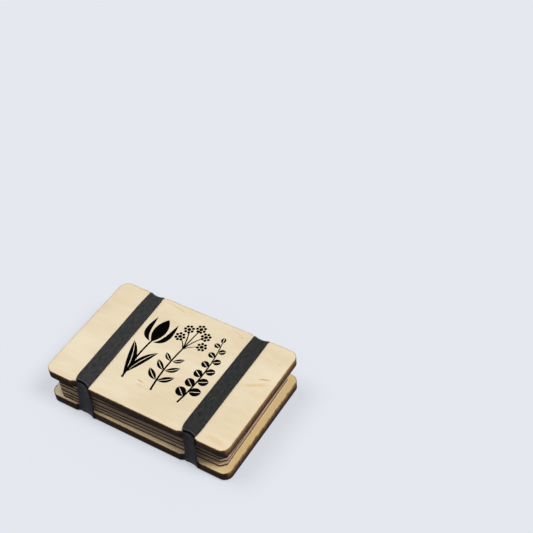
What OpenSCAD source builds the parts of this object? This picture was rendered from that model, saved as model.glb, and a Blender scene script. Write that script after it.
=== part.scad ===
// Pocket flower press: two plywood boards, a stack of blotting sheets and corrugated cards
// between them, and two wide rubber bands round the whole. Millimetres, +Z up, X along the
// boards' long side. The origin is in the middle of the underside, where the bands rest.

/* [Boards] */
// Length of each board
board_length = 140; // [110:1:220]
// Width of each board
board_width = 89; // [60:1:150]
// Thickness of the plywood
board_thickness = 6.5; // [3:0.5:12]
// Radius of the boards' corners
corner_radius = 6; // [2:0.5:12]
// How far the top board sits along from the bottom board
board_stagger = 1; // [0:0.25:2]
// Depth of the curved notches in the long sides, which hold the bands
notch_depth = 2.1; // [1:0.1:3.5]
// How much further than its band a notch reaches on each side
notch_margin = 1.5; // [0.5:0.25:3]

/* [Sheets] */
// Gap between the boards' ends and the sheets
end_margin = 5.5; // [4:0.5:12]
// Gap between the boards' long sides and the sheets
side_margin = 3; // [2:0.5:10]
// Length of each edge taken off at a sheet's corner
corner_cut = 3.5; // [1:0.5:10]
// Thickness of a blotting sheet
blotter_thickness = 0.8; // [0.4:0.1:1.5]

/* [Corrugated cards] */
// Thickness of a card over both liners
card_thickness = 1.6; // [1.4:0.1:4]
// Thickness of each flat liner
liner_thickness = 0.25; // [0.2:0.05:0.4]
// Thickness of the waved paper between the liners
wave_thickness = 0.2; // [0.1:0.05:0.3]
// Distance from one crest of the wave to the next
flute_pitch = 3.2; // [2.5:0.1:8]

/* [Rubber bands] */
// Width of a band
band_width = 12; // [6:0.5:16]
// Thickness of the rubber
band_thickness = 1.2; // [0.6:0.1:2]
// Distance between the middles of the two bands
band_spacing = 83; // [40:1:90]
// Gap between a band and the boards' edges
band_clearance = 0.1; // [0.05:0.05:0.3]

/* [Hidden] */
// Blotting sheets under each card, from the lowest card up, and those on the topmost card
blotters_under_card = [1, 3, 2, 4, 2];
blotters_on_top = 1;
// The stack lies towards the front by this share of the side margin
front_share = 0.2;
// and a little askew: its ends stray sideways by this share of the side margin
askew_share = 0.66;
// The lowest sheet is less askew, by this share, and from this one up they are so in full
lowest_share = 0.5;
settled_layer = 5;
// Each sheet adds up to this share of that on its own
stray_share = 0.12;
// Each sheet strays another way, by this angle of a sine
stray_step = 137.5;
// Points along each wave of a corrugated card
wave_points = 8;
$fn = 48;

// The stack, from the bottom up, as one list of kinds
layers = concat(
    [for (count = blotters_under_card) each concat([for (k = [1:1:count]) "blotter"], ["card"])],
    [for (k = [1:1:blotters_on_top]) "blotter"]);
function thickness(kind) = kind == "card" ? card_thickness : blotter_thickness;
function below(i) = i == 0 ? 0 : below(i - 1) + thickness(layers[i - 1]);
function number(i) = len([for (k = [0:i]) if (layers[k] == layers[i]) k]);
function layer_name(i) = str(layers[i] == "card" ? "corrugated_card_" : "blotting_sheet_", number(i));
top_layer = len(layers) - 1;

// Heights, from the underside of the bands up
bottom_board_z = band_thickness;
stack_z = bottom_board_z + board_thickness;
stack_height = below(top_layer) + thickness(layers[top_layer]);
top_board_z = stack_z + stack_height;
press_height = top_board_z + board_thickness + band_thickness;

sheet_length = board_length - 2 * end_margin;
sheet_width = board_width - 2 * side_margin;
askew_angle = asin(askew_share * side_margin / (sheet_length / 2));
half_band_reach = board_width / 2 + band_clearance + band_thickness;
// A notch is part of a circle
half_notch = band_width / 2 + notch_margin;
notch_radius = (pow(half_notch, 2) + pow(notch_depth, 2)) / (2 * notch_depth);

// A flat rectangle with round corners, centred on the origin
module rounded_rectangle(length, width, radius) {
    square([length - 2 * radius, width], center = true);
    square([length, width - 2 * radius], center = true);
    for (x = [-1, 1], y = [-1, 1])
        translate([x * (length / 2 - radius), y * (width / 2 - radius)]) circle(radius);
}

// A sheet's outline, with its four corners cut off
module sheet_outline() {
    x = sheet_length / 2;
    y = sheet_width / 2;
    c = corner_cut;
    polygon([[x - c, -y], [x, c - y], [x, y - c], [x - c, y],
             [c - x, y], [-x, y - c], [-x, c - y], [c - x, -y]]);
}

module board() {
    linear_extrude(board_thickness)
        difference() {
            rounded_rectangle(board_length, board_width, corner_radius);
            for (x = [-1, 1], y = [-1, 1])
                translate([x * band_spacing / 2, y * (board_width / 2 - notch_depth + notch_radius)])
                    circle(notch_radius);
        }
}

module bottom_board() {
    color([0.86, 0.76, 0.60])
        translate([-board_stagger / 2, 0, bottom_board_z]) board();
}

module top_board() {
    color([0.91, 0.85, 0.74])
        translate([board_stagger / 2, 0, top_board_z]) board();
}

// One sheet of blotting paper, lying on the XY plane
module blotting_sheet() {
    linear_extrude(blotter_thickness) sheet_outline();
}

// The waved paper across a card, seen from its end: its crests sink halfway into the liners
module wave_section() {
    rise = card_thickness / 2 - liner_thickness;
    steps = ceil(sheet_width / flute_pitch * wave_points);
    function place(k) = sheet_width * (k / steps - 1 / 2);
    function height(k) = card_thickness / 2 + rise * cos(360 * place(k) / flute_pitch);
    polygon(concat(
        [for (k = [0:steps]) [place(k), height(k) - wave_thickness / 2]],
        [for (k = [steps:-1:0]) [place(k), height(k) + wave_thickness / 2]]));
}

// One corrugated card, lying on the XY plane, with its flutes open at the ends
module corrugated_card() {
    intersection() {
        linear_extrude(card_thickness) sheet_outline();
        translate([-sheet_length / 2, 0, 0])
            rotate([90, 0, 90])
                linear_extrude(sheet_length) {
                    wave_section();
                    for (z = [0, card_thickness - liner_thickness])
                        translate([-sheet_width / 2, z]) square([sheet_width, liner_thickness]);
                }
    }
}

// Sheet number i of the stack, counted from the bottom board up
module layer(i) {
    settled = lowest_share + (1 - lowest_share) * min(1, i / settled_layer);
    stray = stray_share * sin(stray_step * i);
    translate([0, -front_share * side_margin, stack_z + below(i)])
        rotate(askew_angle * (settled + stray))
            if (layers[i] == "card") color([0.70, 0.58, 0.43]) corrugated_card();
            else color([0.88, 0.86, 0.82]) blotting_sheet();
}

// Half of a band that is stretched round the boards, in the YZ plane. The band is one loop,
// and its halves meet halfway down the press's front and back, where the rubber stretches.
// side is -1 for the half under the bottom board and 1 for the half over the top board.
module band_half(side) {
    inner_width = board_width + 2 * band_clearance;
    inner_height = press_height - 2 * band_thickness;
    translate([-band_width / 2, 0, press_height / 2])
        rotate([90, 0, 90])
            linear_extrude(band_width)
                intersection() {
                    difference() {
                        rounded_rectangle(2 * half_band_reach, press_height, band_thickness);
                        square([inner_width, inner_height], center = true);
                    }
                    translate([-half_band_reach, (side - 1) / 2 * press_height / 2])
                        square([2 * half_band_reach, press_height / 2]);
                }
}

module left_band_half(side) {
    color([0.22, 0.22, 0.23]) translate([-band_spacing / 2, 0, 0]) band_half(side);
}

module right_band_half(side) {
    color([0.22, 0.22, 0.23]) translate([band_spacing / 2, 0, 0]) band_half(side);
}

bottom_board();
for (i = [0:top_layer])
    layer(i);
top_board();
left_band_half(-1);  // left_band_lower_half
left_band_half(1);  // left_band_upper_half
right_band_half(-1);  // right_band_lower_half
right_band_half(1);  // right_band_upper_half
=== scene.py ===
import math

import bmesh
import bpy
from mathutils import Matrix, Vector, geometry, noise


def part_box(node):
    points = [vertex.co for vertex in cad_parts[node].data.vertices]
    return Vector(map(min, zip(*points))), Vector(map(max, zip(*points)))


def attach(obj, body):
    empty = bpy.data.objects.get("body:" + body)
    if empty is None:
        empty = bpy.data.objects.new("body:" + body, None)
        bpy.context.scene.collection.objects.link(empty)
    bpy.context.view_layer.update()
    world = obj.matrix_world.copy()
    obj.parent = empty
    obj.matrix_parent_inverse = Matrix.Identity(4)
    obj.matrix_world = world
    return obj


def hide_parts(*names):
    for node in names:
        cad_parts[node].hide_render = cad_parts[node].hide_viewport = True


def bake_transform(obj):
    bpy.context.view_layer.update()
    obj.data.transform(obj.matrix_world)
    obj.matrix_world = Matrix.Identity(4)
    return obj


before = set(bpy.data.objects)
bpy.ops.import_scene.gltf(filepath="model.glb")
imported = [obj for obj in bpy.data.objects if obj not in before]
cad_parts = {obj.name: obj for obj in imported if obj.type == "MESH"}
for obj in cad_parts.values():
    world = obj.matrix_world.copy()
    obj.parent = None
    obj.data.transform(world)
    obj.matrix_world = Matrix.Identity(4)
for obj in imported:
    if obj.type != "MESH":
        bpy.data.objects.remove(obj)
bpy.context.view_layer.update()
mm = 0.001
print("frame loaded:", len(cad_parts), "nodes")


def tone(red, green, blue):  # a colour in screen values, 0 to 255, made linear
    values = [c / 255 for c in (red, green, blue)]
    return (*[c / 12.92 if c <= 0.04045 else ((c + 0.055) / 1.055) ** 2.4 for c in values], 1)


# Node trees: the helpers take sockets or plain values, and most give back a socket

def put(tree, kind, inputs=(), **settings):
    node = tree.nodes.new("ShaderNode" + kind)
    for key, value in settings.items():
        setattr(node, key, value)
    for key, value in dict(inputs).items():
        if isinstance(value, bpy.types.NodeSocket):
            tree.links.new(value, node.inputs[key])
        else:
            node.inputs[key].default_value = value
    return node


def calc(tree, operation, *values):
    return put(tree, "Math", enumerate(values), operation=operation).outputs[0]


def fade(tree, value, low, high, atLow=0.0, atHigh=1.0):  # soft step from atLow to atHigh
    inputs = {"Value": value, "From Min": low, "From Max": high, "To Min": atLow, "To Max": atHigh}
    return put(tree, "MapRange", inputs, interpolation_type="SMOOTHSTEP").outputs["Result"]


def blendTones(tree, share, first, second, kind="MIX"):
    inputs = {0: share, 6: first, 7: second}
    return put(tree, "Mix", inputs, data_type="RGBA", blend_type=kind).outputs[2]


def stretched(tree, coords, per):  # per: how many features a metre holds along x, y and z
    return put(tree, "Mapping", {"Vector": coords, "Scale": per}).outputs[0]


def speckle(tree, coords, per, detail=2.0, rough=0.5, bend=0.0):
    inputs = {"Vector": stretched(tree, coords, per), "Scale": 1.0, "Detail": detail,
              "Roughness": rough, "Distortion": bend}
    return put(tree, "TexNoise", inputs).outputs["Fac"]


def relief(tree, height, depth, strength=1.0, under=None):
    inputs = {"Height": height, "Distance": depth, "Strength": strength}
    if under:
        inputs["Normal"] = under
    return put(tree, "Bump", inputs).outputs["Normal"]


def newFinish(name, **sockets):  # sockets: Principled BSDF inputs that are the same all over
    finish = bpy.data.materials.new(name)
    finish.use_nodes = True
    shader = finish.node_tree.nodes["Principled BSDF"]
    for key, value in sockets.items():
        shader.inputs[key.replace("_", " ")].default_value = value
    return finish, finish.node_tree, shader


def connect(tree, shader, **sockets):
    for key, value in sockets.items():
        tree.links.new(value, shader.inputs[key.replace("_", " ")])


def seenItself(tree):  # 1 where the camera, a mirror or a clear thing looks, 0 for light thrown back
    path = put(tree, "LightPath")
    seen = calc(tree, "MAXIMUM", path.outputs["Is Camera Ray"], path.outputs["Is Glossy Ray"])
    return calc(tree, "MAXIMUM", seen, path.outputs["Is Transmission Ray"])


def hypotenuse(tree, first, second):
    squares = [calc(tree, "MULTIPLY", side, side) for side in (first, second)]
    return calc(tree, "SQRT", calc(tree, "ADD", *squares))


# Camera, floor and lamps

viewpoint = {
    "place": (339.0 * mm, -367.2 * mm, 610.7 * mm),
    "turn": (44.63, 3.645, 31.31),  # degrees
    "lens": 79.33,
    "sensorWidth": 36,
    "nearest": 0.01,
}

studio = {
    "backdrop": tone(229, 232, 239),
    "floorSize": 6.0,
    "floorBounce": tone(52, 52, 54),  # how pale the floor is to the light that it throws back
    "floorGlow": 0.6,  # share of the backdrop's own colour, which keeps the shadow soft
    "sky": 0.17,
    "keyLight": 1.85,
    "keyTurn": (34, 0, 94),  # degrees: from above and the right
    "keySoftness": 24,
    "fillLight": 1.15,
    "fillTurn": (22, 0, -80),  # from above and the left
    "fillSoftness": 32,
}


def placeCamera():
    camera = bpy.data.objects.new("camera", bpy.data.cameras.new("camera"))
    bpy.context.scene.collection.objects.link(camera)
    camera.location = viewpoint["place"]
    camera.rotation_euler = [math.radians(a) for a in viewpoint["turn"]]
    camera.data.lens = viewpoint["lens"]
    camera.data.sensor_width = viewpoint["sensorWidth"]
    camera.data.clip_start = viewpoint["nearest"]
    bpy.context.scene.camera = camera


def layFloor():
    bpy.ops.mesh.primitive_plane_add(size=studio["floorSize"])
    floor = bpy.context.object
    floor.name = "floor"
    finish = bpy.data.materials.new("pale paper floor")
    finish.use_nodes = True
    tree = finish.node_tree
    tree.nodes.clear()
    seen = seenItself(tree)
    pale = put(tree, "BsdfDiffuse", {"Color": studio["backdrop"]})
    glow = put(tree, "Emission", {"Color": studio["backdrop"]})
    pale = put(tree, "MixShader", {0: studio["floorGlow"], 1: pale.outputs[0], 2: glow.outputs[0]})
    dim = put(tree, "BsdfDiffuse", {"Color": studio["floorBounce"]})
    both = put(tree, "MixShader", {0: seen, 1: dim.outputs[0], 2: pale.outputs[0]})
    put(tree, "OutputMaterial", {"Surface": both.outputs[0]})
    floor.data.materials.append(finish)


def lightScene():
    world = bpy.data.worlds.new("studio")
    bpy.context.scene.world = world
    world.use_nodes = True
    tree = world.node_tree
    tree.nodes.clear()
    seen = seenItself(tree)
    behind = put(tree, "Background", {"Color": studio["backdrop"], "Strength": 1.0})
    sky = put(tree, "Background", {"Color": (1, 1, 1, 1), "Strength": studio["sky"]})
    both = put(tree, "MixShader", {0: seen, 1: sky.outputs[0], 2: behind.outputs[0]})
    put(tree, "OutputWorld", {"Surface": both.outputs[0]})
    lamps = [("key", studio["keyLight"], studio["keySoftness"], studio["keyTurn"]),
             ("fill", studio["fillLight"], studio["fillSoftness"], studio["fillTurn"])]
    for name, strength, softness, turn in lamps:
        lamp = bpy.data.objects.new(name, bpy.data.lights.new(name, "SUN"))
        lamp.data.energy = strength
        lamp.data.angle = math.radians(softness)
        lamp.rotation_euler = [math.radians(a) for a in turn]
        bpy.context.scene.collection.objects.link(lamp)


placeCamera()
layFloor()
lightScene()
bpy.context.scene.view_settings.view_transform = "Standard"
print("camera, floor and lamps placed")


# Meshes

def toPiece(bm, name, finish, sharpFrom=40):
    mesh = bpy.data.meshes.new(name)
    bm.to_mesh(mesh)
    bm.free()
    mesh.shade_smooth()
    mesh.set_sharp_from_angle(angle=math.radians(sharpFrom))
    mesh.materials.append(finish)
    piece = bpy.data.objects.new(name, mesh)
    bpy.context.scene.collection.objects.link(piece)
    return piece


def roundOff(bm, edges, radius, segments=2):
    bmesh.ops.bevel(bm, geom=edges, offset=radius, offset_type="OFFSET", segments=segments,
                    profile=0.5, affect="EDGES", material=-1)


def extrudeUp(bm, faces, rise):
    made = bmesh.ops.extrude_face_region(bm, geom=faces)["geom"]
    moved = [v for v in made if isinstance(v, bmesh.types.BMVert)]
    bmesh.ops.translate(bm, vec=(0, 0, rise), verts=moved)
    return [f for f in made if isinstance(f, bmesh.types.BMFace)]


def flatEdges(bm, height):  # the edges that lie level at one height
    return [e for e in bm.edges if all(abs(v.co.z - height) < 0.001 * mm for v in e.verts)]


# Birch plywood

ply = {
    "face": tone(238, 224, 195),
    "late": tone(223, 203, 167),  # the darker wood of a year's growth
    "stain": tone(242, 211, 146),  # yellowed by smoke from the laser cut
    "fleck": tone(193, 143, 84),
    "warm": tone(222, 186, 132),
    "scorch": tone(172, 118, 66),
    "charRim": tone(176, 136, 94),  # the cut edge: near its upper rim, below, and at its foot
    "char": tone(96, 70, 54),
    "soot": tone(54, 39, 32),
    "scorchReach": 0.9 * mm,
    "burnStep": 8.0 * mm,  # distance from one burn of the cutter's bed to the next
    "burnReach": 0.7 * mm,
    "burnPoint": 2.5,  # how pointed a burn is
    "burnEndShares": (0.4, 0.95),  # of the corners' radius: where the burns along the ends begin
    "charFade": (0.05 * mm, 0.15 * mm),
    "scorchFrom": 0.1 * mm,
    "smokeReach": (1.0 * mm, 18 * mm),
    "smokeRight": (45 * mm, 66 * mm),  # it darkens towards the right end
    "smokeLeftAndPaintedLight": (-66 * mm, -50 * mm),  # and is nearly gone at the left one, a paler face there that is partly painted light reaching under the top board
    "plies": (0.9 * mm, 2.45 * mm, 4.05 * mm, 5.6 * mm),  # the glue lines, from the underside up
    "gluedGap": 0.05 * mm,
    "plyShades": (0.86, 1.0, 0.88, 1.0, 0.92),  # how light each ply is at the cut edge, and its glue
    "glueShade": 0.6,
    "glueShare": 0.02,  # of the board's thickness, to each side of a glue line
    "rimRadius": 0.2 * mm,
    "cornerRadius": 6.0 * mm,
    "cornerSteps": 14,
    "notchPlace": 41.5 * mm,  # the curved notches that hold the bands, from the board's middle
    "notchHalf": 7.5 * mm,
    "notchDepth": 2.1 * mm,
    "notchSteps": 16,
}

boards = {
    "ply_bottom_board": {"node": "bottom_board", "smoke": 0.85, "burns": 1.0, "charReach": 0.1 * mm,
                         "sideDarkness": (0.75, 0.15)},  # how much darker its long sides and its ends are
    "ply_top_board": {"node": "top_board", "smoke": 0.1, "burns": 0.0, "charReach": 0.0,
                      "sideDarkness": (0.4, -0.1)},
}

# Marks in the veneer, in millimetres and degrees: x, y, length, width, turn, strength, tone
veneerMarks = {
    "ply_top_board": [
        (60.7, 15.3, 9.6, 1.1, 22, 1.0, "fleck"), (57.9, 8.8, 20.0, 3.4, 27, 0.6, "warm"),
        (63.5, 30.3, 3.4, 1.0, 0, 0.5, "fleck"), (29.2, 38.4, 7.0, 0.8, 5, 0.55, "fleck"),
        (-53.4, 43.4, 10.5, 0.7, 0, 0.5, "fleck"), (-8.5, -23.0, 5.4, 0.9, -7, 0.95, "fleck"),
        (-7.0, -26.0, 6.0, 1.4, -4, 0.6, "warm"), (60.0, -39.0, 18.0, 6.0, -8, 0.4, "warm"),
        (45.0, 41.0, 9.0, 2.0, 4, 0.3, "warm"), (18.0, -10.5, 12.0, 1.6, 14, 0.25, "warm"),
        (-25.0, 41.1, 19.0, 0.6, -7, 0.6, "fleck"), (-17.6, 40.0, 6.0, 1.2, -7, 0.8, "warm"),
        (27.0, 40.0, 14.0, 0.6, -12, 0.6, "fleck"), (24.4, -23.0, 2.4, 0.9, 0, 0.7, "warm"),
    ],
    "ply_bottom_board": [
        (52.0, -20.0, 8.0, 1.0, 4, 0.6, "fleck"), (-30.5, 12.0, 12.0, 1.6, -3, 0.5, "fleck"),
        (-58.0, -32.0, 4.0, 1.0, 0, 0.6, "fleck"), (12.0, 30.0, 6.0, 0.8, 6, 0.5, "fleck"),
        (20.0, -10.0, 18.0, 3.0, 0, 0.35, "warm"),
    ],
}


def notchRadius():
    return (ply["notchHalf"] ** 2 + ply["notchDepth"] ** 2) / (2 * ply["notchDepth"])


def notchAt(away):  # how deep a notch is at this distance from its middle
    radius = notchRadius()
    return max(0, math.sqrt(max(0, radius ** 2 - away ** 2)) - radius + ply["notchDepth"])


def cutNotches(bm):  # cuts across the board at every step of a notch, whose points are then moved in
    for side in (-1, 1):
        for step in range(ply["notchSteps"] + 1):
            x = side * ply["notchPlace"] + ply["notchHalf"] * (2 * step / ply["notchSteps"] - 1)
            bmesh.ops.bisect_plane(bm, geom=bm.verts[:] + bm.edges[:] + bm.faces[:],
                                   plane_co=(x, 0, 0), plane_no=(1, 0, 0))
    for v in bm.verts:
        v.co.y -= math.copysign(notchAt(abs(v.co.x) - ply["notchPlace"]), v.co.y)
    bmesh.ops.dissolve_faces(bm, faces=bm.faces[:])


def makeBoard(name, finish):
    node = boards[name]["node"]
    low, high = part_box(node)
    bm = bmesh.new()
    bmesh.ops.create_grid(bm, x_segments=1, y_segments=1, size=0.5)
    bmesh.ops.scale(bm, vec=(high.x - low.x, high.y - low.y, 1), verts=bm.verts)
    bmesh.ops.bevel(bm, geom=bm.verts[:], offset=ply["cornerRadius"], offset_type="OFFSET",
                    segments=ply["cornerSteps"], profile=0.5, affect="VERTICES", material=-1)
    cutNotches(bm)
    thickness = high.z - low.z
    gap = ply["gluedGap"]
    stops = sorted([h + d for h in ply["plies"] for d in (-gap, 0, gap)] + [thickness])
    faces = bm.faces[:]
    at = 0
    for stop in stops:  # one ply after the other, each with a fine groove at its glue line
        faces = extrudeUp(bm, faces, stop - at)
        at = stop
    straight = Vector((high.x - low.x, high.y - low.y)) / 2 - Vector((1, 1)) * ply["cornerRadius"]
    for v in bm.verts:
        if any(abs(v.co.z - h) < gap / 2 for h in ply["plies"]):
            out = Vector((max(0, abs(v.co.x) - straight.x), max(0, abs(v.co.y) - straight.y)))
            out.normalize()
            v.co.x -= math.copysign(out.x * gap, v.co.x)
            v.co.y -= math.copysign(out.y * gap, v.co.y)
    bmesh.ops.recalc_face_normals(bm, faces=bm.faces)
    roundOff(bm, flatEdges(bm, 0) + flatEdges(bm, thickness), ply["rimRadius"], 3)
    bmesh.ops.translate(bm, vec=((low.x + high.x) / 2, (low.y + high.y) / 2, low.z), verts=bm.verts)
    board = toPiece(bm, name, finish, 30)
    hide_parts(node)
    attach(board, node)


def rimDepth(tree, place, node):  # how far a point is inside the board's outline
    low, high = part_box(node)
    radius = ply["cornerRadius"]
    across = [calc(tree, "SUBTRACT", calc(tree, "ABSOLUTE", place.outputs[axis]), size / 2 - radius)
              for axis, size in (("X", high.x - low.x), ("Y", high.y - low.y))]
    corner = hypotenuse(tree, *[calc(tree, "MAXIMUM", a, 0.0) for a in across])
    inside = calc(tree, "MINIMUM", calc(tree, "MAXIMUM", *across), 0.0)
    depth = calc(tree, "SUBTRACT", calc(tree, "SUBTRACT", radius, corner), inside)
    notch = notchRadius()
    centre = (ply["notchPlace"], (high.y - low.y) / 2 - ply["notchDepth"] + notch)
    away = [calc(tree, "SUBTRACT", calc(tree, "ABSOLUTE", place.outputs[axis]), at)
            for axis, at in zip("XY", centre)]
    fromNotch = calc(tree, "SUBTRACT", hypotenuse(tree, *away), notch)
    return calc(tree, "MINIMUM", depth, fromNotch)


def markShare(tree, place, ragged, mark):  # 1 in the middle of a mark in the veneer, 0 off it
    x, y, length, width, turn, strength, _ = mark
    dx = calc(tree, "SUBTRACT", place.outputs["X"], x * mm)
    dy = calc(tree, "SUBTRACT", place.outputs["Y"], y * mm)
    c, s = math.cos(math.radians(turn)), math.sin(math.radians(turn))
    along = calc(tree, "MULTIPLY_ADD", dx, c, calc(tree, "MULTIPLY", dy, s))
    across = calc(tree, "MULTIPLY_ADD", dy, c, calc(tree, "MULTIPLY", dx, -s))
    along = calc(tree, "MULTIPLY", along, 2 / (length * mm))
    across = calc(tree, "MULTIPLY", across, 2 / (width * mm))
    away = calc(tree, "MULTIPLY_ADD", along, along, calc(tree, "MULTIPLY", across, across))
    away = calc(tree, "MULTIPLY_ADD", ragged, 1.4, away)
    return fade(tree, away, 0.5, 1.9, strength, 0.0)


def birchFinish(name):
    board = boards[name]
    low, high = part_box(board["node"])
    thickness = high.z - low.z
    finish, tree, shader = newFinish(name.replace("_", " "), Specular_IOR_Level=0.22)
    middle = (-(low.x + high.x) / 2, -(low.y + high.y) / 2, -low.z)
    coords = put(tree, "Mapping", {"Vector": put(tree, "TexCoord").outputs["Object"], "Location": middle})
    coords = coords.outputs[0]
    place = put(tree, "SeparateXYZ", {0: coords})

    # The veneer: growth figure, fibres and pores along the board, and faint blotches
    growth = speckle(tree, coords, (5, 42, 42), 1.5, 0.4, 0.6)
    rings = calc(tree, "MULTIPLY_ADD", calc(tree, "SINE", calc(tree, "MULTIPLY", growth, 55.0)), 0.5, 0.5)
    fibres = speckle(tree, coords, (60, 1900, 1900), 3, 0.6)
    pores = speckle(tree, coords, (190, 4600, 4600), 1, 0.5)
    blotches = speckle(tree, coords, (38, 95, 95), 3, 0.55, 0.5)
    cloud = speckle(tree, coords, (12, 22, 22), 2, 0.5)
    share = calc(tree, "MULTIPLY_ADD", rings, 0.10, fade(tree, fibres, 0.35, 0.75, 0.0, 0.14))
    share = calc(tree, "ADD", share, fade(tree, blotches, 0.35, 0.7, -0.06, 0.3))
    share = calc(tree, "ADD", share, fade(tree, cloud, 0.3, 0.75, -0.08, 0.3))
    wood = blendTones(tree, share, ply["face"], ply["late"])
    wood = blendTones(tree, fade(tree, pores, 0.64, 0.74, 0.0, 0.3), wood, ply["late"], "MULTIPLY")
    ragged = speckle(tree, coords, (160, 700, 700), 2, 0.6)
    for mark in veneerMarks[name]:
        wood = blendTones(tree, markShare(tree, place, ragged, mark), wood, ply[mark[-1]])

    # Smoke and scorch along the rim, with the burns that the cutter's bed leaves at the ends
    depth = rimDepth(tree, place, board["node"])
    wobble = speckle(tree, coords, (500, 500, 500), 3, 0.6)
    along = calc(tree, "ADD", place.outputs["X"], place.outputs["Y"])
    tooth = calc(tree, "FRACT", calc(tree, "MULTIPLY_ADD", along, 1 / ply["burnStep"], wobble))
    tooth = calc(tree, "POWER", tooth, ply["burnPoint"])
    nearEnd = (high.x - low.x) / 2 - ply["cornerRadius"]
    ends = [nearEnd + ply["cornerRadius"] * share for share in ply["burnEndShares"]]
    end = fade(tree, calc(tree, "ABSOLUTE", place.outputs["X"]), *ends)
    burn = calc(tree, "MULTIPLY", calc(tree, "MULTIPLY", tooth, ply["burnReach"] * board["burns"]), end)
    reach = calc(tree, "MULTIPLY_ADD", wobble, board["charReach"] * 2, burn)
    charred = fade(tree, calc(tree, "SUBTRACT", depth, reach), *ply["charFade"], 1.0, 0.0)
    scorched = calc(tree, "SUBTRACT", depth, burn)
    scorched = fade(tree, scorched, ply["scorchFrom"], ply["scorchReach"], 0.8, 0.0)
    scorched = calc(tree, "MULTIPLY", scorched, fade(tree, wobble, 0.3, 0.7, 0.35, 1.0))
    smoked = fade(tree, depth, *ply["smokeReach"], board["smoke"], board["smoke"] * 0.3)
    # less stain towards the left end: partly real, partly painted light on that end of the face
    for side, faint in (("smokeRight", 0.5), ("smokeLeftAndPaintedLight", 0.1)):
        smoked = calc(tree, "MULTIPLY", smoked, fade(tree, place.outputs["X"], *ply[side], faint, 1.0))
    wood = blendTones(tree, smoked, wood, ply["stain"])
    wood = blendTones(tree, scorched, wood, ply["scorch"])

    # The cut edge: charred, browner near its upper rim, with upright strokes of the beam
    height = calc(tree, "MULTIPLY", place.outputs["Z"], 1 / thickness)
    strokes = speckle(tree, coords, (900, 900, 60), 3, 0.65)
    level = calc(tree, "ADD", fade(tree, strokes, 0.25, 0.75, -0.22, 0.22), height)
    # the long sides are drawn darker than the ends
    level = calc(tree, "SUBTRACT", level, fade(tree, end, 0.0, 1.0, *board["sideDarkness"]))
    char = blendTones(tree, fade(tree, level, 0.0, 0.45), ply["soot"], ply["char"])
    char = blendTones(tree, fade(tree, level, 0.42, 0.95), char, ply["charRim"])
    ramp = put(tree, "ValToRGB", {"Fac": height})
    layers = ramp.color_ramp.elements
    shades, half = ply["plyShades"], ply["glueShare"]
    layers[0].color = (*[shades[0]] * 3, 1)
    layers[1].color = (*[shades[-1]] * 3, 1)
    for glue, before, after in zip(ply["plies"], shades, shades[1:]):
        line = glue / thickness
        for stop, value in ((line - half, before), (line, ply["glueShade"]), (line + half, after)):
            layers.new(stop).color = (value, value, value, 1)
    char = blendTones(tree, 1.0, char, ramp.outputs["Color"], "MULTIPLY")
    colour = blendTones(tree, charred, wood, char)

    lift = relief(tree, fibres, 0.03 * mm, 0.5)
    lift = relief(tree, strokes, 0.06 * mm, 0.3, lift)
    connect(tree, shader, Base_Color=colour, Normal=lift, Roughness=fade(tree, charred, 0, 1, 0.6, 0.9))
    return finish


for name in boards:
    makeBoard(name, birchFinish(name))
print("boards built")


# The flower print on the top board: plain garden plants, cut like a stamp, with thin veins left bare

inkwork = {
    "ink": tone(1, 1, 1),
    "rubbed": tone(15, 13, 12),
    "sunk": 0.02 * mm,  # how far the ink reaches into the wood, and how far it stands on it
    "proud": 0.02 * mm,
    "vein": 0.5 * mm,
    "handleShare": 1.33,  # a cubic curve reaches three quarters of the way to its handles
    "curveSteps": 12,
    "dotSteps": 16,
}


def curve(foot, footHandle, tipHandle, tip):
    points = [Vector((*p, 0)) for p in (foot, footHandle, tipHandle, tip)]
    return geometry.interpolate_bezier(*points, inkwork["curveSteps"] + 1)


def patch(bm, left, right):  # the flat shape between two curves that run side by side
    steps = inkwork["curveSteps"]
    for v in bmesh.ops.create_grid(bm, x_segments=1, y_segments=steps, size=0.5)["verts"]:
        side = left if v.co.x < 0 else right
        v.co = side[round((v.co.y + 0.5) * steps)] * mm


def leaf(bm, foot, tip, width, bow=0.0, vein=True, fullness=0.3):
    foot, tip = Vector(foot), Vector(tip)
    along = tip - foot
    aside = Vector((-along.y, along.x)).normalized()

    def edge(reach):
        return curve(foot, foot + along * fullness + aside * (bow + reach),
                     tip - along * fullness + aside * (bow + reach), tip)

    half = width / 2 * inkwork["handleShare"]
    if not vein:
        patch(bm, edge(half), edge(-half))
        return
    bare = inkwork["vein"] / mm / 2 * inkwork["handleShare"]
    patch(bm, edge(half), edge(bare))
    patch(bm, edge(-bare), edge(-half))


def stem(bm, foot, bend, tip, footWidth, tipWidth):
    foot, bend, tip = Vector(foot), Vector(bend), Vector(tip)
    sides = []
    for sign in (-1, 1):
        a = Vector((sign * footWidth / 2, 0))
        b = Vector((sign * (footWidth + tipWidth) / 4, 0))
        c = Vector((sign * tipWidth / 2, 0))
        sides.append(curve(foot + a, foot.lerp(bend, 0.67) + b, tip.lerp(bend, 0.67) + b, tip + c))
    patch(bm, *sides)


def dot(bm, x, y, radius):
    made = bmesh.ops.create_circle(bm, cap_ends=True, segments=inkwork["dotSteps"], radius=radius * mm)
    bmesh.ops.translate(bm, vec=(x * mm, y * mm, 0), verts=made["verts"])


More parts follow.
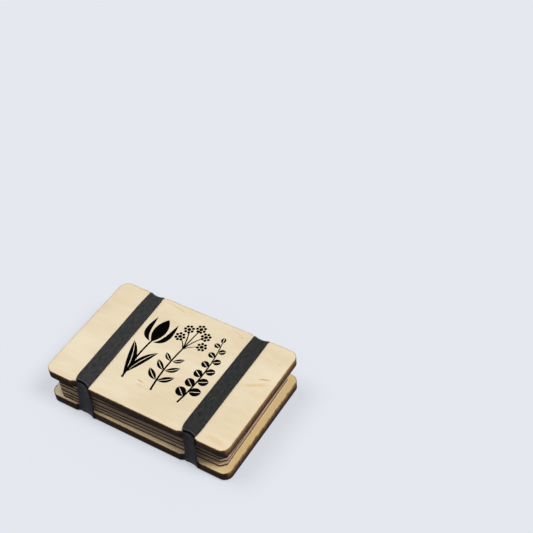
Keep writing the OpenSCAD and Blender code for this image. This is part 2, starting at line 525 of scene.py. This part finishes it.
def drawTulip(bm):
    stem(bm, (-20.5, -26), (-23.0, -6), (-21.0, 9), 1.6, 1.3)
    leaf(bm, (-21.0, 7.5), (-21.0, 29.0), 9.2, vein=False)
    for sign in (-1, 1):
        foot, tip = (-21 + sign * 1.2, 7.6), (-21 + sign * 8.2, 28)
        outer = curve(foot, (-21 + sign * 12.6, 8.6), (-21 + sign * 10.4, 20), tip)
        inner = curve(foot, (-21 + sign * 6.8, 12.0), (-21 + sign * 6.4, 20), tip)
        patch(bm, outer, inner)
    leaf(bm, (-21.0, -24.0), (-31.5, 3.5), 6.0, -2.6)
    leaf(bm, (-20.4, -21.0), (-11.0, 1.5), 5.4, 2.4)


def drawUmbel(bm):
    hub = (1.0, 12.0)
    stem(bm, (2.0, -26), (-1.2, -8), hub, 1.5, 1.1)
    for x, y in ((-6.6, 20.4), (-4.6, 28.4), (2.6, 32.0), (9.2, 27.6), (11.2, 19.3)):
        stem(bm, hub, (1 + (x - 1) * 0.35, 12 + (y - 12) * 0.62), (x, y), 1.0, 0.8)
        dot(bm, x, y, 1.35)
        for k in range(7):
            angle = 2 * math.pi * (k / 7 + 0.04 * x)
            dot(bm, x + 2.75 * math.cos(angle), y + 2.75 * math.sin(angle), 1.05)
    for y, reach in ((-17.5, 9.0), (-8.5, 8.0), (0.0, 6.6)):
        for sign in (-1, 1):
            foot = (0.6 + sign * 0.5, y)
            leaf(bm, foot, (foot[0] + sign * reach, y + reach * 0.75), reach * 0.5, sign * -0.8)


def drawRoundLeaves(bm):
    foot, bend, tip = Vector((22.5, -26)), Vector((27.5, 2)), Vector((21.5, 28.5))
    stem(bm, foot, bend, tip, 1.4, 0.7)
    leaves = 11
    for k in range(leaves):
        t = 0.1 + 0.82 * k / (leaves - 1)
        at = foot * (1 - t) ** 2 + bend * 2 * t * (1 - t) + tip * t ** 2
        along = ((bend - foot) * (1 - t) + (tip - bend) * t).normalized()
        sign = 1 if k % 2 else -1
        size = 8.6 - 4.4 * t
        out = Vector((along.y, -along.x)) * sign * 0.86 + along * 0.5
        leaf(bm, at + out * 0.7, at + out * (0.7 + size), size * 0.86, fullness=0.12)
    leaf(bm, tip, tip + Vector((-1.0, 4.6)), 3.4, fullness=0.15)


def inkFinish():
    finish, tree, shader = newFinish("black stamp ink", Specular_IOR_Level=0.02, Roughness=0.8)
    coords = put(tree, "TexCoord").outputs["Object"]
    grain = speckle(tree, coords, (120, 2600, 2600), 3, 0.6)  # the wood's fibres show faintly through it
    specks = speckle(tree, coords, (1500, 1500, 1500), 2, 0.5)
    grained = fade(tree, grain, 0.5, 0.8, 0.0, 0.6)
    share = calc(tree, "ADD", grained, fade(tree, specks, 0.62, 0.75, 0.0, 0.5))
    connect(tree, shader, Base_Color=blendTones(tree, share, inkwork["ink"], inkwork["rubbed"]),
            Normal=relief(tree, grain, 0.02 * mm, 0.4))
    return finish


def makePrint(board):
    low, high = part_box(board)
    bm = bmesh.new()
    for draw in (drawTulip, drawUmbel, drawRoundLeaves):
        draw(bm)
    bmesh.ops.remove_doubles(bm, verts=bm.verts, dist=0.002 * mm)
    faces = bm.faces[:]
    bmesh.ops.recalc_face_normals(bm, faces=faces)
    extrudeUp(bm, faces, inkwork["sunk"] + inkwork["proud"])
    bmesh.ops.recalc_face_normals(bm, faces=bm.faces)
    bmesh.ops.translate(bm, vec=(0, 0, high.z - inkwork["sunk"]), verts=bm.verts)
    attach(toPiece(bm, "flower_print", inkFinish()), board)


makePrint("top_board")
print("print laid on")


# Blotting sheets and corrugated cards

paper = {
    "blotting": tone(236, 213, 190),
    "blottingDark": tone(196, 168, 142),
    "kraft": tone(226, 200, 168),
    "kraftDark": tone(190, 158, 124),
    "fluteShade": tone(34, 24, 19),  # painted shade: a near-black brown for all that lies between a card's liners, where shade falls into the gap
    "fluteShadeDark": tone(22, 15, 12),
    "edgeStep": 3.0 * mm,  # distance between the points of a sheet's edge
    "edgeWander": 0.16 * mm,  # how uneven a cut edge is
    "wanderStep": 9.0 * mm,  # and over what length
    "edgeInset": (0.02 * mm, 0.22 * mm),  # least and most that a blotting sheet stands back
    "edgeRadius": 0.12 * mm,
    "linerThickness": 0.25 * mm,
    "waveThickness": 0.2 * mm,
    "waveInset": 2.0 * mm,  # along the long sides, where the wave ends short of its liners
    "waveCornerInset": 0.2 * mm,
    "flutePitch": 3.2 * mm,
    "fluteSteps": 16,
    "linerRadius": 0.04 * mm,
}


def paperFinish(name, light, dark, strata):
    finish, tree, shader = newFinish(name, Roughness=0.92, Specular_IOR_Level=0.12, Sheen_Weight=0.04)
    coords = put(tree, "TexCoord").outputs["Object"]
    fibres = speckle(tree, coords, (2600, 2600, 2600), 4, 0.65, 0.8)
    layers = speckle(tree, coords, (50, 50, strata), 2, 0.6)  # thin layers that show at the edge
    sheets = speckle(tree, coords, (6, 6, 900), 0, 0.5)  # one sheet a little unlike the next
    blots = speckle(tree, coords, (90, 90, 300), 3, 0.6)
    share = calc(tree, "MULTIPLY_ADD", fade(tree, fibres, 0.3, 0.75), 0.3,
                 calc(tree, "MULTIPLY", fade(tree, layers, 0.35, 0.7), 0.4))
    share = calc(tree, "ADD", share, fade(tree, sheets, 0.3, 0.7, -0.15, 0.4))
    share = calc(tree, "ADD", share, fade(tree, blots, 0.35, 0.65, -0.12, 0.12))
    colour = blendTones(tree, share, light, dark)
    lift = relief(tree, fibres, 0.06 * mm, 0.6)
    connect(tree, shader, Base_Color=colour, Normal=lift)
    return finish


def nodeCopy(node):  # a merged copy of a CAD node's mesh, its flat faces in one piece each
    bm = bmesh.new()
    bm.from_mesh(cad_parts[node].data)
    bmesh.ops.remove_doubles(bm, verts=bm.verts, dist=0.001 * mm)
    bmesh.ops.dissolve_limit(bm, angle_limit=math.radians(1), verts=bm.verts, edges=bm.edges)
    return bm


def sheetOutline(node):  # the sheet's topmost face as a ring of points about its middle, and its turn
    low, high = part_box(node)
    middle = Vector(((low.x + high.x) / 2, (low.y + high.y) / 2, 0))
    bm = nodeCopy(node)
    level = [f for f in bm.faces if f.normal.z > 0.9]
    cap = max(level, key=lambda f: (f.calc_center_median().z, f.calc_area()))
    ring = [v.co - middle for v in cap.verts]
    longest = max(cap.edges, key=lambda e: e.calc_length())
    along = longest.verts[1].co - longest.verts[0].co
    bm.free()
    return ring, middle, math.atan(along.y / along.x)


def insetOf(seed):  # how far one sheet stands back, and which way it lies off the middle
    least, most = paper["edgeInset"]
    back = least + (most - least) * (0.5 + 0.5 * math.sin(seed * 2.4))
    return back, Vector((math.sin(seed * 1.7), math.cos(seed * 2.9), 0)) * back * 0.8


def slab(bm, ring, middle, low, high, seed, back=0.0, shift=Vector()):  # a flat layer with an uneven edge
    reach = Vector((max(p.x for p in ring), max(p.y for p in ring)))
    face = bm.faces.new([bm.verts.new((p.x, p.y, low)) for p in ring])
    for e in list(face.edges):
        cuts = int(e.calc_length() / paper["edgeStep"])
        if cuts:
            bmesh.ops.subdivide_edges(bm, edges=[e], cuts=cuts)
    for v in face.verts:
        v.co.x *= 1 - back / reach.x
        v.co.y *= 1 - back / reach.y
        inward = -Vector((v.co.x, v.co.y, 0)).normalized()
        wander = noise.noise(Vector((v.co.x / paper["wanderStep"], v.co.y / paper["wanderStep"], seed)))
        v.co += middle + shift + inward * paper["edgeWander"] * (0.5 + 0.5 * wander)
    extrudeUp(bm, [face], high - low)


def makeBlottingSheet(number, finish):
    node = f"blotting_sheet_{number}"
    low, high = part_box(node)
    ring, middle, _ = sheetOutline(node)
    bm = bmesh.new()
    slab(bm, ring, middle, low.z, high.z, number * 3.7, *insetOf(number * 3.7))
    bmesh.ops.recalc_face_normals(bm, faces=bm.faces)
    roundOff(bm, flatEdges(bm, low.z) + flatEdges(bm, high.z), paper["edgeRadius"], 2)
    sheet = toPiece(bm, f"blotting_paper_{number}", finish)
    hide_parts(node)
    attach(sheet, node)


def makeFlutedCard(number, finish, gapShadeFinish):
    node = f"corrugated_card_{number}"
    low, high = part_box(node)
    ring, middle, turn = sheetOutline(node)
    liner = paper["linerThickness"]
    seed = number * 5.3
    bm = bmesh.new()
    for z in (low.z, high.z - liner):
        slab(bm, ring, middle, z, z + liner, seed)
    bmesh.ops.recalc_face_normals(bm, faces=bm.faces)
    roundOff(bm, [e for z in (low.z, low.z + liner, high.z - liner, high.z) for e in flatEdges(bm, z)],
             paper["linerRadius"], 1)

    # The wave between the liners: a grid bent to a cosine, cut to the outline, given its thickness
    unturn = Matrix.Rotation(-turn, 3, "Z")
    flat = [unturn @ p for p in ring]
    length = (max(p.x for p in flat) - paper["edgeWander"] / 2) * 2
    width = (max(p.y for p in flat) - paper["waveInset"]) * 2
    wave = bmesh.new()
    steps = round(width / paper["flutePitch"] * paper["fluteSteps"])
    bmesh.ops.create_grid(wave, x_segments=1, y_segments=steps, size=0.5)
    bmesh.ops.scale(wave, vec=(length, width, 1), verts=wave.verts)
    inset = paper["waveCornerInset"]
    rise = (high.z - low.z) / 2 - liner - paper["waveThickness"] / 2
    for v in wave.verts:
        v.co.z = rise * math.cos(2 * math.pi * v.co.y / paper["flutePitch"])
    for first, second in zip(flat, flat[1:] + flat[:1]):
        side = second - first
        outward = Vector((side.y, -side.x, 0)).normalized()
        if outward.dot(first) < 0:
            outward = -outward
        if abs(outward.x) > 0.1 and abs(outward.y) > 0.1:  # the cut-off corners
            bmesh.ops.bisect_plane(wave, geom=wave.verts[:] + wave.edges[:] + wave.faces[:],
                                   plane_co=Vector((first.x, first.y, 0)) - outward * inset,
                                   plane_no=outward, clear_outer=True)
    bmesh.ops.solidify(wave, geom=wave.faces[:], thickness=paper["waveThickness"])
    bmesh.ops.translate(wave, vec=(0, 0, paper["waveThickness"] / 2), verts=wave.verts)
    bmesh.ops.rotate(wave, matrix=Matrix.Rotation(turn, 3, "Z"), verts=wave.verts)
    middle.z = (low.z + high.z) / 2
    bmesh.ops.translate(wave, vec=middle, verts=wave.verts)
    bmesh.ops.recalc_face_normals(wave, faces=wave.faces)
    waveMesh = bpy.data.meshes.new("wave")
    wave.to_mesh(waveMesh)
    wave.free()
    bm.from_mesh(waveMesh)
    bpy.data.meshes.remove(waveMesh)
    for f in bm.faces:  # all that lies between the liners, but not the cut ends of the wave, takes the painted shade of the gap
        inside = abs(f.calc_center_median().z - middle.z) < (high.z - low.z) / 2 - liner * 0.7
        f.material_index = int(inside and abs(f.normal.x) < 0.9)
    card = toPiece(bm, f"fluted_card_{number}", finish, 50)
    card.data.materials.append(gapShadeFinish)
    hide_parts(node)
    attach(card, node)


blottingFinish = paperFinish("blotting paper", paper["blotting"], paper["blottingDark"], 5200)
kraftFinish = paperFinish("kraft card", paper["kraft"], paper["kraftDark"], 3000)
# painted shade for the gaps between a card's liners
fluteShadeFinish = paperFinish("painted shade inside a card", paper["fluteShade"], paper["fluteShadeDark"], 3000)
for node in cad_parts:
    if node.startswith("blotting_sheet_"):
        makeBlottingSheet(int(node.split("_")[-1]), blottingFinish)
    elif node.startswith("corrugated_card_"):
        makeFlutedCard(int(node.split("_")[-1]), kraftFinish, fluteShadeFinish)
print("stack built")


# Rubber bands

band = {
    "rubber": tone(38, 38, 39),
    "dusty": tone(71, 71, 70),
    # real worn specks, and also the tone of the painted sheen and highlight
    "wornAndHighlight": tone(89, 89, 90),
    "dustFreeSheen": tone(55, 55, 63),  # painted reflection of the pale bluish backdrop down the front and back runs, which also hold less dust than the top
    "shade": {"left": 1.0, "right": 0.77},  # painted shade: the right band's rubber drawn darker than the left one's, as if it stood in less light
    # painted shade: near black in the crease
    "creaseShade": tone(2, 2, 2),
    "thickness": 1.2 * mm,
    "bendOver": 3.0 * mm,  # radius of the outside, round the rims of the top board
    "bendUnder": 3.2 * mm,  # and round the rims of the bottom board
    "bendSteps": 20,
    "runSteps": (60, 40, 40, 30),  # along the top, the front, the underside and the back
    "acrossSteps": 20,
    "curl": (0.35 * mm, 0.1 * mm),  # how far its sides stand off, over the back rim and the front one
    "curlBell": (1.0 * mm, 2.6 * mm),  # where beyond the crease they stand off most, and how far around
    "lip": 0.2 * mm,  # the roll of rubber before a bend over the top board
    "lipBell": (-1.2 * mm, 0.6 * mm),
    "crease": 0.8 * mm,  # and how deep the crease after it is
    "creaseReach": 0.42 * mm,
    "creaseArch": 0.3 * mm,  # how much further down the crease is at the band's sides
    "creaseDrop": (2.4 * mm, 1.7 * mm),  # how far down the bend it is, over the back rim and the front one
    "clearance": 0.1 * mm,  # the CAD's gap between a band and the boards' edges
    "notchSlack": 0.15 * mm,  # how far short of a notch's wall the rubber stays
    "seatShift": 0.5 * mm,  # the notch is this far right of the band at the top board, and left below
    "drawnIn": 0.9 * mm,  # how far its middle is drawn in between the boards, beside the sheets
    "drawFrom": (14.0 * mm, 10.0 * mm),  # where the top run starts to be drawn in, and over what length
    "drawHeight": 3.4 * mm,  # how far up a board's edge the notch takes over
    "crown": 0.8 * mm,  # how much lower the sides are than the middle on the free span
    "sideRadius": 0.45 * mm,
    "ease": 2.5 * mm,
    "uvScale": 10.0,  # UV units per metre
    "dustFreeSheenFade": (-1.0 * mm, 1.0 * mm),  # along the band from the crease: where its dust ends and the painted reflection begins
    "sheenStreakPlace": 0.5 * mm,  # a painted sheen: the paler streak down its middle
    "sheenStreakReach": (0.5 * mm, 4.5 * mm),
    "rollHighlightPlace": 1.4 * mm,  # a painted highlight: the pale line along the roll, before the crease
    "rollHighlightReach": (0.1 * mm, 0.5 * mm),
    "creaseShadeReach": (0.6 * mm, 1.0 * mm),  # the painted shade in the crease
}

# Where the two edges of each band run, in millimetres: the way round its loop, which begins at
# the back rim of the top board and goes over the top, then the x of the left and the right edge
bandEdges = {
    "left": [
        (0, -46.6, -36.0), (7.5, -46.9, -35.3), (17.5, -47.2, -35.0), (47.5, -46.8, -34.5),
        (77.5, -46.4, -33.8), (85, -46.4, -33.7), (88, -46.1, -33.7), (90, -45.6, -33.7),
        (92, -44.6, -33.6), (94, -43.6, -33.3), (96, -43.4, -33.2), (102, -43.6, -33.1),
        (106.5, -44.2, -33.2), (111, -44.7, -33.3), (115, -45.1, -33.5), (119, -45.2, -33.9),
        (125, -45.6, -34.4), (170, -46.4, -34.8), (213, -46.9, -35.4), (219, -46.6, -35.7),
        (230, -45.6, -36.6), (240, -46.2, -36.2), (245.5, -46.6, -36.0),
    ],
    "right": [
        (0, 37.1, 47.7), (7.5, 36.7, 48.0), (17.5, 36.4, 48.2), (47.5, 36.2, 48.2),
        (77.5, 35.9, 48.4), (85, 36.0, 48.4), (88, 36.3, 48.2), (90, 36.9, 48.0),
        (92, 38.0, 47.7), (94, 39.0, 47.6), (96, 39.2, 47.7), (102, 39.1, 48.1),
        (106.5, 39.0, 48.3), (111, 38.7, 48.1), (115, 37.9, 47.8), (119, 37.4, 47.6),
        (125, 37.0, 47.8), (170, 36.4, 48.2), (213, 36.3, 48.3), (219, 36.6, 48.1),
        (230, 37.6, 47.0), (240, 37.2, 47.5), (245.5, 37.1, 47.7),
    ],
}


def bandLoop(low, high):  # points round the outside, each with its outward direction
    corners = []
    for k, (back, over) in enumerate(((1, 1), (-1, 1), (-1, -1), (1, -1))):
        radius = band["bendOver"] if over > 0 else band["bendUnder"]
        y, z = back * (high.y - radius), high.z - radius if over > 0 else low.z + radius
        corners.append((Vector((0, y, z)), radius, k * 90))

    def rim(corner, degrees):
        angle = math.radians(degrees)
        out = Vector((0, math.cos(angle), math.sin(angle)))
        return corner[0] + out * corner[1], out

    points = []
    for k, corner in enumerate(corners):
        turn = [corner[2] + 90 * step / band["bendSteps"] for step in range(band["bendSteps"] + 1)]
        points += [rim(corner, degrees) for degrees in turn]
        start, out = points[-1]
        following = corners[(k + 1) % 4]
        end = rim(following, following[2])[0]
        for step in range(1, band["runSteps"][k]):  # along the run after it, closer near its ends
            share = 0.5 - 0.5 * math.cos(math.pi * step / band["runSteps"][k])
            points.append((start.lerp(end, share), out))
    return points


def layOut(side):  # how a band lies: its box, the free span's heights, its loop and the way round it
    low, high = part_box(f"{side}_band_lower_half")[0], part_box(f"{side}_band_upper_half")[1]
    loop = bandLoop(low, high)
    ways = [0]
    for k in range(len(loop)):
        ways.append(ways[-1] + (loop[(k + 1) % len(loop)][0] - loop[k][0]).length)
    top = band["bendSteps"], band["bendSteps"] + band["runSteps"][0]
    return {"side": side, "low": low, "high": high, "loop": loop, "ways": ways,
            "free": (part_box("bottom_board")[1].z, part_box("top_board")[0].z),
            "bends": [ways[row] for row in top]}  # where the bends at the top run's two ends begin


def edgesAt(lie, way):  # the band's two edges at a place on its loop, eased over the table's corners
    stations = bandEdges[lie["side"]]
    whole = stations[-1][0]
    sums = [0, 0]
    for nudge in range(-3, 4):
        at = (way / lie["ways"][-1] * whole + nudge / 3 * band["ease"] / mm) % whole
        k = max(i for i in range(len(stations) - 1) if stations[i][0] <= at)
        part = (at - stations[k][0]) / (stations[k + 1][0] - stations[k][0])
        for edge in (0, 1):
            sums[edge] += stations[k][edge + 1] * (1 - part) + stations[k + 1][edge + 1] * part
    return [total / 7 * mm for total in sums]


def acrossAt(lie, way, x):  # -1 at the band's left edge, 1 at its right one
    left, right = edgesAt(lie, way)
    return (x * 2 - left - right) / (right - left)


def bump(value, centre, reach):  # a soft bell, 1 at the centre
    return math.exp(-((value - centre) / reach) ** 2)


def eased(value):  # a soft step from 0 to 1
    value = min(1, max(0, value))
    return value * value * (3 - 2 * value)


def beyondCrease(lie, row, across):  # how far down the front or the back, from the crease at the bend
    way, bends = lie["ways"][row], lie["bends"]
    front = way - bends[1] - band["creaseDrop"][1]
    back = bends[0] - band["creaseDrop"][0] - way
    beyond = max(front, back) if front < 0 else min(front, back + lie["ways"][-1])
    return beyond - band["creaseArch"] * across ** 2


def newStrip(lie):  # a flat grid with a row for each point of the loop, and two maps for the rubber
    rows = len(lie["loop"])
    width = lie["high"].x - lie["low"].x
    scale = band["uvScale"]
    bm = bmesh.new()
    bmesh.ops.create_grid(bm, x_segments=band["acrossSteps"], y_segments=rows, size=0.5)
    lengthMap = bm.loops.layers.uv.new("length of the band")
    creaseMap = bm.loops.layers.uv.new("distance from the crease")
    for face in bm.faces:
        for corner in face.loops:
            row = round((corner.vert.co.y + 0.5) * rows)
            across = corner.vert.co.x * width * scale
            corner[lengthMap].uv = (across, lie["ways"][row] * scale)
            corner[creaseMap].uv = (across, beyondCrease(lie, row, corner.vert.co.x * 2) * scale)
    return bm


def wrapRound(bm, lie):
    rows = len(lie["loop"])
    bottom, top = lie["free"]
    for v in bm.verts:
        row = round((v.co.y + 0.5) * rows) % rows
        place, out = lie["loop"][row]
        across = v.co.x * 2
        left, right = edgesAt(lie, lie["ways"][row])
        near = bump(beyondCrease(lie, row, across), *band["curlBell"])
        v.co = place + out * band["curl"][0 if place.y > 0 else 1] * abs(across) ** 3 * near
        span = math.sin(math.pi * min(1, max(0, (place.z - bottom) / (top - bottom))))
        v.co -= out * band["crown"] * across ** 2 * (0.2 + 0.8 * span)
        v.co.x = (left + right) / 2 + across * (right - left) / 2


def pressCreases(bm, lie):  # a roll of rubber before each bend over the top board, then the crease
    high, bends, radius = lie["high"], lie["bends"], band["bendOver"]
    for v in bm.verts:
        back, up = abs(v.co.y) - high.y + radius, v.co.z - high.z + radius
        if up <= 0:
            continue
        angle = math.atan2(max(0, back), up)
        out = Vector((0, math.copysign(math.sin(angle), v.co.y), math.cos(angle)))
        run = min(0, back) + radius * angle  # along the rubber from where the bend begins
        across = acrossAt(lie, bends[0] - run if v.co.y > 0 else bends[1] + run, v.co.x)
        beyond = run - band["creaseArch"] * across ** 2 - band["creaseDrop"][0 if v.co.y > 0 else 1]
        depth = min(1, max(0, (math.hypot(max(0, back), up) - radius) / band["thickness"] + 1))
        press = band["crease"] * bump(beyond, 0, band["creaseReach"])
        v.co -= out * depth * (press - band["lip"] * bump(beyond, *band["lipBell"]))


def keepClear(bm, lie):  # the rubber thins where it is drawn over a board's rim
    low, high = lie["low"], lie["high"]
    thick = band["thickness"] - band["clearance"] / 2
    edge = high.y - band["thickness"] - band["clearance"] / 2
    for v in bm.verts:
        v.co.z = max(v.co.z, low.z)
        depths = [(edge - abs(v.co.y), "edge"), (v.co.z - low.z - thick, "under"),
                  (high.z - thick - v.co.z, "over")]
        least, side = min(depths)
        if least > 0 and side == "edge":
            v.co.y = math.copysign(edge, v.co.y)
        elif least > 0:
            v.co.z = low.z + thick if side == "under" else high.z - thick


def drawIntoNotches(bm, lie):
    high, ways, over = lie["high"], lie["ways"], band["bendOver"]
    bottom, top = lie["free"]
    start, length = band["drawFrom"]
    for v in bm.verts:
        aboveMiddle = v.co.z - (bottom + top) / 2
        seat = (lie["low"].x + high.x) / 2 + math.copysign(band["seatShift"], aboveMiddle)
        rim = eased((abs(aboveMiddle) - (top - bottom) / 2) / band["drawHeight"])
        drop = high.z - over - v.co.z
        way = ways[-1] - drop if v.co.y > 0 else lie["bends"][1] + math.pi / 2 * over + drop
        across = min(1, abs(acrossAt(lie, way, v.co.x)))
        drawn = rim * max(0, notchAt(v.co.x - seat) - band["notchSlack"])
        drawn += (1 - rim) * band["drawnIn"] * (1 - across ** 2)
        v.co.y -= math.copysign(drawn * eased((abs(v.co.y) - high.y + start) / length), v.co.y)


def makeBand(side, finish):
    lie = layOut(side)
    bm = newStrip(lie)
    wrapRound(bm, lie)
    bmesh.ops.remove_doubles(bm, verts=bm.verts, dist=0.01 * mm)
    bmesh.ops.recalc_face_normals(bm, faces=bm.faces)
    bmesh.ops.solidify(bm, geom=bm.faces[:], thickness=band["thickness"])
    sides = {f for f in bm.faces if abs(f.normal.x) > 0.8}
    rims = [e for e in bm.edges if len(sides.intersection(e.link_faces)) == 1]
    roundOff(bm, rims, band["sideRadius"], 3)
    pressCreases(bm, lie)
    keepClear(bm, lie)
    drawIntoNotches(bm, lie)
    piece = toPiece(bm, f"{side}_rubber_band", finish)
    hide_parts(f"{side}_band_lower_half", f"{side}_band_upper_half")
    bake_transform(piece)


def rubberFinish(side):
    finish, tree, shader = newFinish(f"matte rubber of the {side} band", Specular_IOR_Level=0.08)
    coords = put(tree, "TexCoord").outputs["UV"]
    mottle = speckle(tree, coords, (45, 26, 1), 4, 0.65)
    specks = speckle(tree, coords, (420, 260, 1), 2, 0.5)
    drawn = speckle(tree, coords, (160, 3, 1), 3, 0.6)  # faint lines along the band
    creases = speckle(tree, coords, (8, 110, 1), 3, 0.55, 1.5)  # and across it
    share = calc(tree, "MULTIPLY", fade(tree, mottle, 0.3, 0.72), 0.6)
    share = calc(tree, "MULTIPLY_ADD", fade(tree, drawn, 0.45, 0.75), 0.3, share)
    share = calc(tree, "MULTIPLY_ADD", fade(tree, creases, 0.55, 0.75), 0.25, share)
    colour = blendTones(tree, share, band["rubber"], band["dusty"])
    colour = blendTones(tree, fade(tree, specks, 0.66, 0.74, 0.0, 0.6), colour, band["wornAndHighlight"])
    crease = put(tree, "UVMap", uv_map="distance from the crease").outputs["UV"]
    crease = put(tree, "Mapping", {"Vector": crease, "Scale": [1 / band["uvScale"]] * 3}).outputs[0]
    crease = put(tree, "SeparateXYZ", {0: crease})
    beyond = crease.outputs["Y"]
    # painted reflection: a lighter bluish tone down the front and back runs, which also hold less dust
    dustFreeSheen = fade(tree, beyond, *band["dustFreeSheenFade"], 0.0, 0.7)
    colour = blendTones(tree, dustFreeSheen, colour, band["dustFreeSheen"])
    # painted sheen: a paler streak down the middle of the front and back runs
    middle = calc(tree, "ABSOLUTE", calc(tree, "SUBTRACT", crease.outputs["X"], band["sheenStreakPlace"]))
    rubbed = calc(tree, "MULTIPLY", dustFreeSheen, fade(tree, middle, *band["sheenStreakReach"], 0.5, 0.0))
    colour = blendTones(tree, rubbed, colour, band["wornAndHighlight"])
    # painted shade: the crease drawn near black
    creaseShade = fade(tree, calc(tree, "ABSOLUTE", beyond), *band["creaseShadeReach"], 1.0, 0.0)
    # painted highlight along the roll of rubber, just before the crease
    rollHighlight = calc(tree, "ABSOLUTE", calc(tree, "ADD", beyond, band["rollHighlightPlace"]))
    rollHighlight = fade(tree, rollHighlight, *band["rollHighlightReach"], 0.6, 0.0)
    colour = blendTones(tree, rollHighlight, colour, band["wornAndHighlight"])
    colour = blendTones(tree, creaseShade, colour, band["creaseShade"])
    # painted shade: one band drawn darker than the other
    colour = blendTones(tree, 1.0, colour, (*[band["shade"][side]] * 3, 1), "MULTIPLY")
    lift = relief(tree, specks, 0.03 * mm, 0.5)
    lift = relief(tree, drawn, 0.05 * mm, 0.4, lift)
    lift = relief(tree, creases, 0.08 * mm, 0.4, lift)
    rough = fade(tree, mottle, 0.3, 0.7, 0.5, 0.66)
    connect(tree, shader, Base_Color=colour, Normal=lift, Roughness=rough)
    return finish


for side in bandEdges:
    makeBand(side, rubberFinish(side))
print("bands built")
